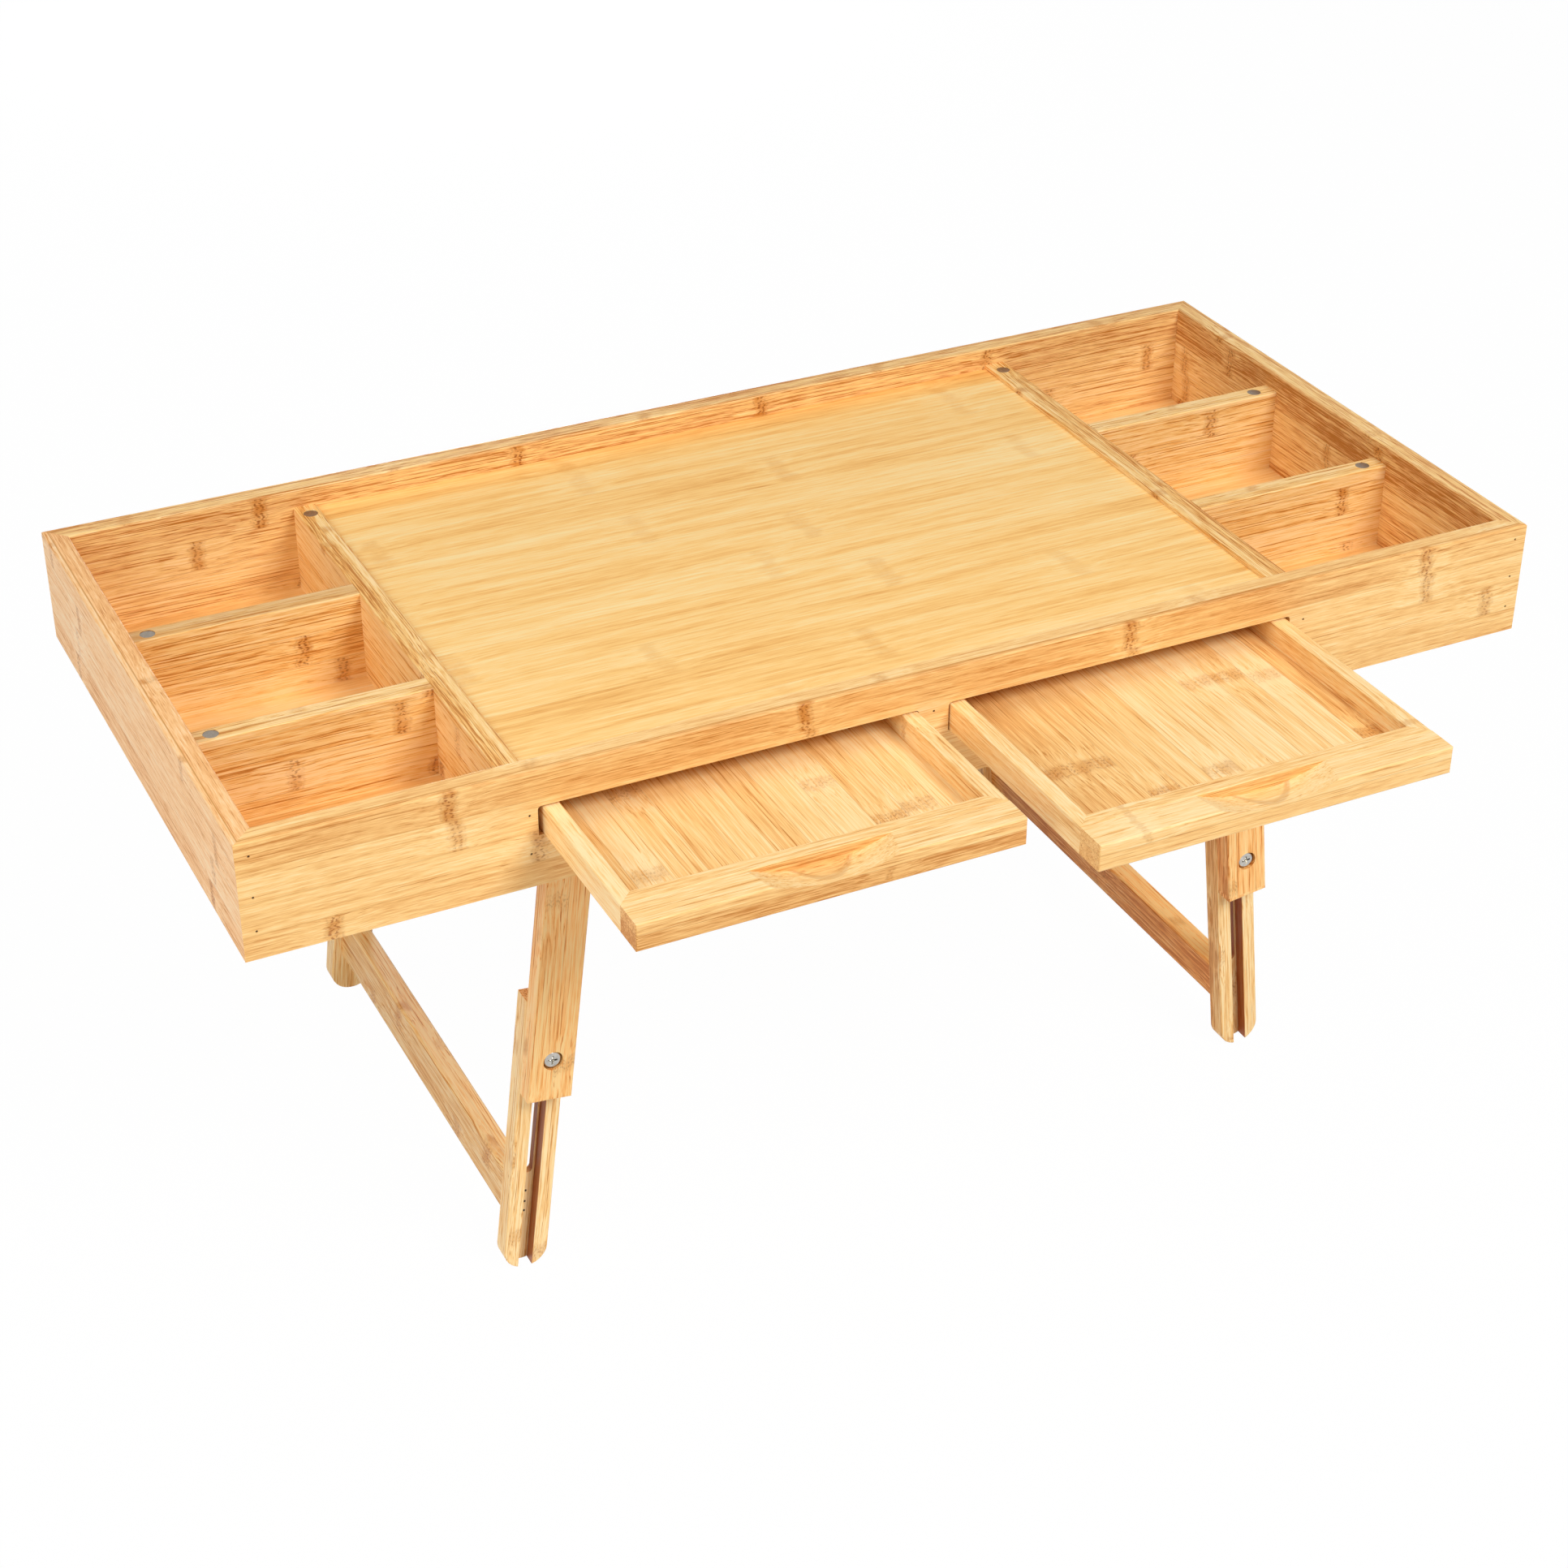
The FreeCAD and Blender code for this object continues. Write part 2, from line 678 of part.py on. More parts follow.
def wing_nut(label, side, facing):
    """A round hub with two wings, on the inner end of the clamp bolt."""
    hand, turn, place = leg_place(side, facing)
    body = new_body(label, place, turn)
    start = lower_back + 2 * d.running_clearance + d.washer_thickness
    end = start + d.wing_height
    half_span = d.wing_span / 2
    half_wing = d.wing_thickness / 2
    low = (-half_wing, start + d.wing_hub_length / 2, bolt_v - half_span)
    box(body, low, (half_wing, end, bolt_v + half_span))
    ease(
        body,
        d.wing_round,
        lambda item: item.BoundBox.ZLength < half_wing.value and item.BoundBox.YLength < half_wing.value,
    )
    drum(body, (0, start, bolt_v), d.wing_hub_radius, d.wing_hub_length)
    half_gap = d.wing_gap / 2
    low = (-d.wing_hub_radius, start + d.wing_hub_length, bolt_v - half_gap)
    box(body, low, (d.wing_hub_radius, end + d.overrun, bolt_v + half_gap), cut=True)
    hole = d.bolt_radius + d.shaft_clearance
    drum(body, (0, start - d.overrun, bolt_v), hole, d.wing_height + 2 * d.overrun, cut=True)


for side, word in ((-1, "left"), (1, "right")):
    for facing, place_word in ((-1, "front"), (1, "back")):
        upper_leg(f"{word}_{place_word}_upper_leg", side, facing)
        lower_leg(f"{word}_{place_word}_lower_leg", side, facing)
        wing_nut(f"{word}_{place_word}_wing_nut", side, facing)
    stretcher(word, side)
    leg_group(f"{word}_clamp_bolts", side, clamp_bolt)
    leg_group(f"{word}_clamp_washers", side, clamp_washer)
    leg_group(f"{word}_stretcher_nails", side, stretcher_nail)


# Pivots: bolts through the legs into threaded inserts in the walls
def pivot_bolt(turn, place):
    body = hidden_body("PivotBolt", turn, place)
    head = d.leg_thickness + d.running_clearance
    tail = d.leg_wall_gap + d.insert_length
    drum(body, (0, head, 0), d.bolt_head_radius, d.bolt_head_height)
    ease(body, d.bolt_head_ease, lambda item: lies_at(item, "y", head + d.bolt_head_height))
    drum(body, (0, -tail, 0), d.bolt_radius, tail + head + d.bolt_head_height / 2)
    half_long = d.cross_length / 2
    half_wide = d.cross_width / 2
    top = head + d.bolt_head_height
    for across, along in ((half_long, half_wide), (half_wide, half_long)):
        low = (-across, top - d.cross_depth, -along)
        box(body, low, (across, top + d.overrun, along), cut=True)
    return [body]


def pivot_insert(turn, place):
    body = hidden_body("PivotInsert", turn, place)
    drum(body, (0, -d.leg_wall_gap - d.insert_length, 0), d.insert_radius, d.insert_length)
    start = -d.leg_wall_gap - d.insert_length - d.overrun
    drum(body, (0, start, 0), d.bolt_radius, d.insert_length + 2 * d.overrun, cut=True)
    return [body]


def pivot_washer(turn, place):
    thickness = d.leg_wall_gap - d.running_clearance
    return washer("PivotWasher", turn, place, -d.leg_wall_gap, 0, thickness)


for label, maker in (
    ("leg_pivot_bolts", pivot_bolt),
    ("leg_pivot_inserts", pivot_insert),
    ("leg_pivot_washers", pivot_washer),
):
    pieces = []
    for side in (-1, 1):
        for facing in (-1, 1):
            hand, turn, place = leg_place(side, facing)
            pieces += maker(turn, place)
    group(label, pieces)

# Check every object, then write one file for each node
doc.recompute()
for item in doc.Objects:
    if "Invalid" in item.State or "Error" in item.State:
        raise RuntimeError(f"{item.Label} failed: {item.State}")
for node in nodes:
    if node.Shape.isNull() or not node.Shape.isValid() or not node.Shape.Solids:
        raise RuntimeError(f"{node.Label} has no valid shape")
os.makedirs("parts", exist_ok=True)
for node in nodes:
    node.Shape.exportStep(f"parts/{node.Label}.step")
print(f"{len(nodes)} nodes written")
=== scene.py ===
import math
import bpy
from mathutils import Matrix, Vector


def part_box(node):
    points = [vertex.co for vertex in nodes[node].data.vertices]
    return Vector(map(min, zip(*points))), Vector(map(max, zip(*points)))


# Bamboo puzzle table with two trays, two drawers and folding legs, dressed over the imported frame
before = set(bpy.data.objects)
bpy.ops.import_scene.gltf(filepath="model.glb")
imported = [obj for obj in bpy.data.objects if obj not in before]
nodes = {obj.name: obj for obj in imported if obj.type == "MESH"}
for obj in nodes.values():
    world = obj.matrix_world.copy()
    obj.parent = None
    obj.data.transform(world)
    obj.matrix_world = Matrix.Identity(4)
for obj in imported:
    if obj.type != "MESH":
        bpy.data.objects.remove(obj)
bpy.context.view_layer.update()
scene = bpy.context.scene
mm = 0.001


def hexColour(text):
    channels = [int(text[start:start + 2], 16) / 255 for start in (1, 3, 5)]
    return [c / 12.92 if c <= 0.04045 else ((c + 0.055) / 1.055) ** 2.4 for c in channels] + [1.0]


# Adds one node; an input that is a socket is linked, any other is set
def addNode(tree, kind, inputs=None, **settings):
    node = tree.nodes.new(kind)
    for key, value in settings.items():
        setattr(node, key, value)
    for key, value in (inputs or {}).items():
        if isinstance(value, bpy.types.NodeSocket):
            tree.links.new(value, node.inputs[key])
        else:
            node.inputs[key].default_value = value
    return node


def newMaterial(name):
    material = bpy.data.materials.new(name)
    material.use_nodes = True
    return material, material.node_tree, material.node_tree.nodes["Principled BSDF"]


def dress(nodeName, material):
    slots = nodes[nodeName].data.materials
    if not slots:
        slots.append(material)
    for index in range(len(slots)):
        slots[index] = material


# Camera at the photograph's place
cameraView = {
    "place": (-0.787925, -1.505833, 1.313438),
    "heading": -26.2386,  # degrees about the vertical
    "tilt": 32.1150,  # degrees down
    "roll": 0.1592,
    "lens": 68.337,  # mm
    "sensor": 36.0,  # mm
    "farthest": 50.0,  # m
}


def aimCamera(look):
    data = bpy.data.cameras.new("tableCamera")
    data.sensor_width = look["sensor"]
    data.lens = look["lens"]
    data.clip_end = look["farthest"]
    camera = bpy.data.objects.new("tableCamera", data)
    scene.collection.objects.link(camera)
    camera.matrix_world = (
        Matrix.Translation(look["place"])
        @ Matrix.Rotation(math.radians(look["heading"]), 4, "Z")
        @ Matrix.Rotation(math.radians(90 - look["tilt"]), 4, "X")
        @ Matrix.Rotation(math.radians(look["roll"]), 4, "Z")
    )
    scene.camera = camera


aimCamera(cameraView)
print("camera set")


# Bamboo strips glued side by side, planed and sealed with a satin lacquer: the eye sees fine brown fibres
# along the strip, a small change of tone at each glue line, and short speckled bands where the cane had nodes
bambooLook = {
    "stripWidth": 22.0,  # mm across one strip
    "layer": 7.5,  # mm through one layer
    "shift": (5.5, 0.0),  # mm from the seat to the glue lines, across and through
    "slide": (5.0, 0.7, 0.9),  # m by which a strip's pattern is moved, at most
    # dark fibre, streak, body, pale fibre
    "tones": {0.0: "#C8823A", 0.28: "#E9AE66", 0.56: "#F9CB84", 1.0: "#FFE4AE"},
    # mm along and across, and share of the tone; real fibres are 0.3 mm across, too fine to show
    "fibre": (11.0, 0.75, 1.25),
    "line": (48.0, 1.7, 0.95),
    "streak": (60.0, 0.9, 0.45),  # thin and dark
    "cloud": (150.0, 8.0, 0.6),
    "streakCut": (0.44, 0.32),  # noise at which a streak begins and is full
    "noiseDetail": 2.5,
    "noiseRoughness": 0.6,
    "strip": 0.26,  # share of the tone that differs from strip to strip
    "step": (0.0, 0.0),  # every second strip, and every second layer, paler
    "lift": 0.0,  # whole piece paler or darker
    "edge": -0.1,  # tone of the strips seen on edge
    "endGrain": -0.2,
    "sway": (26.0, 9.0, 3.0),  # mm along, across and aside: fibres bend round a node
    "swayFar": 0.12,  # share of the bend that is left away from a node
    "wander": (30.0, 4.0, 11.0),  # mm: the rows of a node mark aren't straight
    "nodeEvery": 300.0,  # mm between the marks of one strip
    "nodeReach": 5.5,  # mm from the middle of a mark to its end
    "nodeCore": 0.25,  # share of that reach in which a mark is full
    "nodeHalo": (34.0, 0.12),  # mm, and tone of the paler wood beside a mark
    "nodeColour": "#CC8434",
    "nodeShare": 0.85,
    "nodeFaintest": 0.45,  # the weakest strip's mark
    "patchCut": (0.62, 0.42),  # noise at which a mark is thin and is full
    "patchLeast": 0.2,
    "rowGap": 3.6,  # mm between the rows of specks in a mark
    "rowEdge": (0.42, 0.12),  # shares of that gap at which a row ends and is full
    "speck": (3.2, 1.1),  # mm along and across
    "speckCut": (0.47, 0.57),
    "speckColour": "#A0541A",
    "speckShare": 0.9,
    "speckOnEdge": 0.25,  # share of the specks that a strip on edge keeps
    "seamColour": "#B97A3A",
    "seamShare": (0.35, 0.35),  # across and through
    "seamWidth": 0.4,  # mm
    "seamCore": 0.3,
    "groove": (),  # a routed groove, where shade is painted: its middle and half width in mm, across and through
    # painted shade in the groove: its colour, its share on the floor and on the walls, and how far past the
    # wall it fades
    "grooveShadeColour": "#A24C12",
    "grooveShadeShare": (0.0, 0.85),  # on its floor and on its walls
    "grooveShadeFade": (0.5, 0.2),  # mm past its wall
    "roughness": (0.38, 0.55),  # pale and dark fibres
    "ior": 1.5,
    "specular": 0.3,
    "bump": 0.08,
    "bumpHeight": 0.4,  # mm
}


def bamboo(name, seat, grain, across, seed, **changes):
    look = dict(bambooLook, **changes)
    material, tree, shader = newMaterial(name)
    grain = Vector(grain).normalized()
    across = Vector(across).normalized()
    turn = Matrix((grain, across, grain.cross(across)))
    source = addNode(tree, "ShaderNodeTexCoord")
    place = addNode(tree, "ShaderNodeMapping", {
        "Vector": source.outputs["Object"], "Rotation": turn.to_euler(),
        "Location": Vector((0, *look["shift"])) * mm - turn @ Vector(seat),
    }).outputs["Vector"]

    # each strip gets its own chance numbers, and slides its pattern along by them
    strips = addNode(tree, "ShaderNodeVectorMath", {
        0: place, 1: (0.0, 1 / (look["stripWidth"] * mm), 1 / (look["layer"] * mm)),
    }, operation="MULTIPLY").outputs[0]
    stripCell = addNode(tree, "ShaderNodeVectorMath", {0: strips}, operation="FLOOR").outputs[0]
    chance = addNode(tree, "ShaderNodeTexWhiteNoise", {"Vector": stripCell, "W": seed}, noise_dimensions="4D")
    slid = addNode(tree, "ShaderNodeVectorMath", {
        0: chance.outputs["Color"], 1: look["slide"], 2: place,
    }, operation="MULTIPLY_ADD").outputs[0]

    # noise drawn out along the grain; the last three bend beside a node
    noises = {}
    field = slid
    for pattern in ("wander", "sway", "cloud", "speck", "fibre", "line", "streak"):
        if pattern == "fibre":
            along = addNode(tree, "ShaderNodeSeparateXYZ", {0: slid}).outputs[0]
            ragged = addNode(tree, "ShaderNodeMath", {
                0: noises["wander"], 1: look["wander"][2] * mm, 2: along,
            }, operation="MULTIPLY_ADD").outputs[0]
            fromNode = addNode(tree, "ShaderNodeMath", {
                0: ragged, 1: look["nodeEvery"] * mm / 2,
            }, operation="PINGPONG").outputs[0]
            beside = addNode(tree, "ShaderNodeMapRange", {
                "Value": fromNode, "From Min": look["nodeHalo"][0] * mm, "From Max": 0.0,
                "To Min": look["swayFar"], "To Max": 1.0,
            }, interpolation_type="SMOOTHSTEP").outputs[0]
            bend = addNode(tree, "ShaderNodeMath", {
                0: beside, 1: look["sway"][2] * mm,
            }, operation="MULTIPLY").outputs[0]
            aside = addNode(tree, "ShaderNodeMath", {
                0: noises["sway"], 1: bend,
            }, operation="MULTIPLY").outputs[0]
            shove = addNode(tree, "ShaderNodeCombineXYZ", {1: aside, 2: aside}).outputs[0]
            field = addNode(tree, "ShaderNodeVectorMath", {0: slid, 1: shove}, operation="ADD").outputs[0]
        size = look[pattern]
        stretched = addNode(tree, "ShaderNodeVectorMath", {
            0: field, 1: (1 / (size[0] * mm), 1 / (size[1] * mm), 1 / (size[1] * mm)),
        }, operation="MULTIPLY").outputs[0]
        noises[pattern] = addNode(tree, "ShaderNodeTexNoise", {
            "Vector": stretched, "Scale": 1.0,
            "Detail": look["noiseDetail"], "Roughness": look["noiseRoughness"],
        }).outputs[0]

    # tone: the strip, its clouds, streaks and fibres, paler wood beside a node, darker edges and end grain
    halo = addNode(tree, "ShaderNodeMath", {0: beside, 1: noises["sway"]}, operation="MULTIPLY").outputs[0]
    cells = addNode(tree, "ShaderNodeSeparateXYZ", {0: stripCell})
    seconds = []
    for axis in (1, 2):
        seconds.append(addNode(tree, "ShaderNodeMath", {
            0: cells.outputs[axis], 1: 1.0,
        }, operation="PINGPONG").outputs[0])
    shares = [
        (chance.outputs["Value"], look["strip"]),
        (noises["cloud"], look["cloud"][2]),
        (noises["line"], look["line"][2]),
        (noises["fibre"], look["fibre"][2]),
        *zip(seconds, look["step"]),
    ]
    tone = 0.5 + look["lift"] - sum(share for value, share in shares) / 2  # noise is a half on average
    facing = []
    for way in (across, grain):
        toward = addNode(tree, "ShaderNodeVectorMath", {
            0: source.outputs["Normal"], 1: way,
        }, operation="DOT_PRODUCT").outputs["Value"]
        squared = addNode(tree, "ShaderNodeMath", {0: toward, 1: toward}, operation="MULTIPLY").outputs[0]
        facing.append(squared)
    thin = addNode(tree, "ShaderNodeMapRange", {
        "Value": noises["streak"], "From Min": look["streakCut"][0], "From Max": look["streakCut"][1],
    }).outputs[0]
    shares += [
        (facing[0], look["edge"]),
        (facing[1], look["endGrain"]),
        (thin, -look["streak"][2]),
        (halo, look["nodeHalo"][1] * 2),
    ]
    for value, share in shares:
        tone = addNode(tree, "ShaderNodeMath", {
            0: value, 1: share, 2: tone,
        }, operation="MULTIPLY_ADD").outputs[0]
    ramp = addNode(tree, "ShaderNodeValToRGB", {0: tone})
    stops = ramp.color_ramp.elements
    while len(stops) < len(look["tones"]):
        stops.new(0.5)
    for stop, (spot, shade) in zip(stops, look["tones"].items()):
        stop.position = spot
        stop.color = hexColour(shade)
    colour = ramp.outputs[0]

    # node marks: ragged rows of specks across the strip, in a browner band, stronger on some strips
    strength = addNode(tree, "ShaderNodeMapRange", {
        "Value": chance.outputs["Value"], "To Min": 1.0, "To Max": look["nodeFaintest"],
    }).outputs[0]
    band = addNode(tree, "ShaderNodeMapRange", {
        "Value": fromNode, "From Min": look["nodeReach"] * mm,
        "From Max": look["nodeReach"] * mm * look["nodeCore"], "To Max": strength,
    }, interpolation_type="SMOOTHSTEP").outputs[0]
    rowGap = look["rowGap"] * mm
    inRow = addNode(tree, "ShaderNodeMath", {0: fromNode, 1: rowGap / 2}, operation="ADD").outputs[0]
    fromRow = addNode(tree, "ShaderNodeMath", {0: inRow, 1: rowGap / 2}, operation="PINGPONG").outputs[0]
    row = addNode(tree, "ShaderNodeMapRange", {
        "Value": fromRow, "From Min": rowGap * look["rowEdge"][0],
        "From Max": rowGap * look["rowEdge"][1], "To Max": band,
    }, interpolation_type="SMOOTHSTEP").outputs[0]
    darkest = addNode(tree, "ShaderNodeMapRange", {
        "Value": facing[0], "To Min": look["speckShare"], "To Max": look["speckShare"] * look["speckOnEdge"],
    }).outputs[0]
    dots = addNode(tree, "ShaderNodeMapRange", {
        "Value": noises["speck"], "From Min": look["speckCut"][0], "From Max": look["speckCut"][1],
        "To Max": darkest,
    }).outputs[0]
    patchy = addNode(tree, "ShaderNodeMapRange", {
        "Value": noises["sway"], "From Min": look["patchCut"][0], "From Max": look["patchCut"][1],
        "To Min": look["patchLeast"], "To Max": look["nodeShare"],
    }).outputs[0]
    bandAmount = addNode(tree, "ShaderNodeMath", {0: band, 1: patchy}, operation="MULTIPLY").outputs[0]
    speckAmount = addNode(tree, "ShaderNodeMath", {0: row, 1: dots}, operation="MULTIPLY").outputs[0]
    for amount, shade in ((bandAmount, "nodeColour"), (speckAmount, "speckColour")):
        colour = addNode(tree, "ShaderNodeMix", {
            "Factor": amount, 6: colour, 7: hexColour(look[shade]),
        }, data_type="RGBA").outputs[2]

    # glue lines between the strips
    sides = addNode(tree, "ShaderNodeSeparateXYZ", {0: place})
    seamWidth = look["seamWidth"] * mm
    for axis, width, share in zip((1, 2), (look["stripWidth"], look["layer"]), look["seamShare"]):
        fromSeam = addNode(tree, "ShaderNodeMath", {
            0: sides.outputs[axis], 1: width * mm / 2,
        }, operation="PINGPONG").outputs[0]
        seam = addNode(tree, "ShaderNodeMapRange", {
            "Value": fromSeam, "From Min": seamWidth, "From Max": seamWidth * look["seamCore"],
            "To Max": share,
        }, interpolation_type="SMOOTHSTEP").outputs[0]
        colour = addNode(tree, "ShaderNodeMix", {
            "Factor": seam, 6: colour, 7: hexColour(look["seamColour"]),
        }, data_type="RGBA").outputs[2]

    # painted shade in a routed groove, most on its walls, where the shadow falls
    if look["groove"]:
        grooveShade = addNode(tree, "ShaderNodeMapRange", {
            "Value": facing[0], "To Min": look["grooveShadeShare"][0], "To Max": look["grooveShadeShare"][1],
        }).outputs[0]
        for axis, (middle, half) in zip((1, 2), look["groove"]):
            offMiddle = addNode(tree, "ShaderNodeMath", {
                0: sides.outputs[axis], 1: middle * mm,
            }, operation="SUBTRACT").outputs[0]
            fromMiddle = addNode(tree, "ShaderNodeMath", {0: offMiddle}, operation="ABSOLUTE").outputs[0]
            grooveShade = addNode(tree, "ShaderNodeMapRange", {
                "Value": fromMiddle, "From Min": (half + look["grooveShadeFade"][0]) * mm,
                "From Max": (half + look["grooveShadeFade"][1]) * mm, "To Max": grooveShade,
            }).outputs[0]
        colour = addNode(tree, "ShaderNodeMix", {
            "Factor": grooveShade, 6: colour, 7: hexColour(look["grooveShadeColour"]),
        }, data_type="RGBA").outputs[2]
    tree.links.new(colour, shader.inputs["Base Color"])

    rough = addNode(tree, "ShaderNodeMapRange", {
        "Value": tone, "To Min": look["roughness"][1], "To Max": look["roughness"][0],
    }).outputs[0]
    tree.links.new(rough, shader.inputs["Roughness"])
    bump = addNode(tree, "ShaderNodeBump", {
        "Strength": look["bump"], "Distance": look["bumpHeight"] * mm, "Height": tone,
    }).outputs[0]
    tree.links.new(bump, shader.inputs["Normal"])
    shader.inputs["IOR"].default_value = look["ior"]
    shader.inputs["Specular IOR Level"].default_value = look["specular"]
    return material


# First chance number of each group of pieces
firstSeed = {
    "case": 1.5, "thinPanel": 31.5,
    "leftDrawer": 51.5, "rightDrawer": 61.5,
    "leftLeg": 71.5, "rightLeg": 81.5,
    "leftStretcher": 91.5, "rightStretcher": 95.5,
}
alongX = (1, 0, 0)
alongY = (0, 1, 0)
alongZ = (0, 0, 1)

# The walls of the trays are planed less finely, and their fibres show more
trayLook = {
    "fibre": (16.0, 0.75, 1.8), "line": (110.0, 1.6, 1.7), "streak": (110.0, 0.9, 0.8), "strip": 0.4,
    "sway": (26.0, 9.0, 1.8), "nodeEvery": 190.0, "nodeReach": 7.0, "speckColour": "#8E4A14",
    "tones": {0.0: "#C07930", 0.28: "#EBAD5D", 0.56: "#F5C97F", 1.0: "#FFDCA2"},
}
# The outer layer of the front and left panels ends in a golden line along the rim
rimLine = {"seamShare": (0.3, 0.8), "seamWidth": 0.7, "seamColour": "#CC8630"}
rimTones = {**trayLook["tones"], 0.28: "#E8B06F"}  # quieter streaks, for the rims at the back and right
warmTones = {0.0: "#C87E3A", 0.28: "#EAA967", 0.56: "#FAC586", 1.0: "#FFDEB0"}  # redder, on the left side

# Which way the strips of each piece run, along and across, and how the piece differs from the common look
# The second shift keeps each face clear of a layer's glue line, whose colour would cover it
casePieces = {
    "front_panel": (alongX, alongZ, {
        "layer": 12.5, "shift": (5.5, 3.5), "edge": -0.12, "nodeEvery": 230.0, "nodeReach": 7.0,
        "fibre": (13.0, 0.75, 1.05), "line": (70.0, 1.7, 0.8), "streak": (80.0, 0.9, 0.3), **rimLine,
    }),
    "back_panel": (alongX, alongZ, {
        **trayLook, "layer": 11.5, "shift": (9.0, -0.5), "lift": 0.04, "edge": -0.17, "tones": rimTones,
    }),
    "left_side_panel": (alongY, alongZ, {
        "layer": 12.5, "shift": (2.0, -3.5), "lift": 0.02, "edge": 0.04, "tones": warmTones, **rimLine,
    }),
    # painted shade: the inner face is darker, for the shade that falls in the tray, and the rim on top stays
    # paler
    "right_side_panel": (alongY, alongZ, {
        **trayLook, "layer": 11.5, "shift": (12.0, 0.5), "lift": -0.11, "edge": 0.17, "tones": rimTones,
    }),
    # the faces are paler and the top darker, partly the wood's own tone and partly painted light on the tray
    # face
    "left_partition": (alongY, alongZ, {
        **trayLook, "shift": (5.5, 0.5), "strip": 0.2, "step": (0.0, 0.3), "lift": 0.33, "edge": -0.48,
    }),
    "right_partition": (alongY, alongZ, {
        **trayLook, "shift": (5.5, 0.5), "strip": 0.2, "step": (0.0, -0.1), "lift": 0.04, "edge": -0.04,
    }),
    # the dividers' faces are paler than their tops, partly the wood's own tone and partly painted light in
    # the trays
    "left_front_divider": (alongX, alongZ, {**trayLook, "shift": (9.0, -0.5), "lift": 0.19, "edge": -0.14}),
    "left_back_divider": (alongX, alongZ, {**trayLook, "shift": (4.0, -0.5), "lift": 0.12, "edge": -0.12}),
    "right_front_divider": (alongX, alongZ, {**trayLook, "shift": (14.0, -0.5), "lift": 0.24, "edge": -0.14}),
    "right_back_divider": (alongX, alongZ, {**trayLook, "shift": (7.0, -0.5), "lift": 0.16, "edge": -0.12}),
    "drawer_centre_guide": (alongY, alongZ, {}),
}
for index, (nodeName, (grain, across, changes)) in enumerate(casePieces.items()):
    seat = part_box(nodeName)[0]
    seed = firstSeed["case"] + index
    dress(nodeName, bamboo("lacqueredBamboo." + nodeName, seat, grain, across, seed, **changes))
print("case dressed")

# The board and the thin panels are sanded and sealed flat: paler and quieter, wide strips, faint marks
boardLook = {
    "stripWidth": 42.0, "layer": 9.0, "shift": (0.0, 0.0), "strip": 0.3, "lift": 0.06,
    "tones": {0.0: "#DE9A48", 0.28: "#F3B866", 0.56: "#FDCC7C", 1.0: "#FFDF9E"},
    "fibre": (16.0, 1.0, 0.8), "line": (80.0, 2.4, 1.0), "streak": (70.0, 1.0, 0.2),
    "cloud": (220.0, 11.0, 1.2), "nodeHalo": (40.0, 0.08), "nodeColour": "#E49E48", "nodeShare": 0.4,
    "nodeReach": 9.0, "speckShare": 0.06, "seamShare": (0.12, 0.12), "wander": (40.0, 9.0, 24.0),
}
trayFloorLook = dict(boardLook, tones={0.0: "#D4964A", 0.28: "#ECB268", 0.56: "#F7C880", 1.0: "#FBD89E"})
drawerBottomLook = {
    "layer": 9.0, "shift": (3.0, 0.0), "strip": 0.42, "lift": 0.12,
    "fibre": (30.0, 0.8, 1.1), "line": (90.0, 1.6, 0.9),
    "nodeReach": 10.0, "nodeEvery": 240.0, "nodeShare": 0.6, "speckShare": 0.55, "roughness": (0.42, 0.58),
}
thinPanels = {
    "puzzle_board": (alongX, alongY, boardLook),
    "left_tray_floor": (alongX, alongY, trayFloorLook),
    "right_tray_floor": (alongX, alongY, trayFloorLook),
    "drawer_deck": (alongX, alongY, boardLook),
    "left_drawer_bottom": (alongY, alongX, drawerBottomLook),
    "right_drawer_bottom": (alongY, alongX, drawerBottomLook),
}
for index, (nodeName, (grain, across, changes)) in enumerate(thinPanels.items()):
    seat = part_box(nodeName)[0]
    seed = firstSeed["thinPanel"] + index
    dress(nodeName, bamboo("sandedBambooPanel." + nodeName, seat, grain, across, seed, **changes))
print("panels dressed")

# A drawer's frame is milled from single strips, without glue lines; only its front shows narrow strips
drawerLook = {
    "stripWidth": 60.0, "layer": 60.0, "shift": (20.0, 30.0), "strip": 0.0, "edge": 0.1, "lift": 0.11,
    "fibre": (14.0, 0.8, 1.3), "line": (60.0, 1.8, 1.2),
    "nodeEvery": 520.0, "nodeReach": 4.0, "nodeShare": 0.4, "speckShare": 0.35,
}
drawerFrontLook = {"stripWidth": 11.0, "shift": (0.0, 30.0)}
drawerChanges = {
    "left_drawer_front": {
        **drawerFrontLook, "step": (0.2, 0.0), "lift": -0.15, "edge": 0.22,
        "fibre": (14.0, 0.8, 1.1), "line": (60.0, 1.8, 0.9),
    },
    # painted light: the left drawer's left side is made paler where light falls on it
    "left_drawer_left_side": {"lift": 0.25},
    # painted shade: each inner rail's front face is darker, for the shade behind the scoop, and its top stays
    # pale
    "left_drawer_inner_rail": {"lift": -0.1, "edge": 0.2},
    "right_drawer_front": {
        **drawerFrontLook, "step": (0.1, 0.0), "lift": 0.08, "edge": 0.08,
        "fibre": (14.0, 0.8, 0.9), "line": (60.0, 1.8, 0.7),
    },
    # painted shade, as on the left inner rail
    "right_drawer_inner_rail": {"lift": -0.1, "edge": 0.2},
}
drawerGrain = {
    "front": alongX, "inner_rail": alongX, "back": alongX, "left_side": alongY, "right_side": alongY,
}
for side in ("left", "right"):
    for index, (part, grain) in enumerate(drawerGrain.items()):
        nodeName = f"{side}_drawer_{part}"
        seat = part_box(nodeName)[0]
        seed = firstSeed[side + "Drawer"] + index
        changes = dict(drawerLook, **drawerChanges.get(nodeName, {}))
        dress(nodeName, bamboo("lacqueredBamboo." + nodeName, seat, grain, alongZ, seed, **changes))
print("drawers dressed")
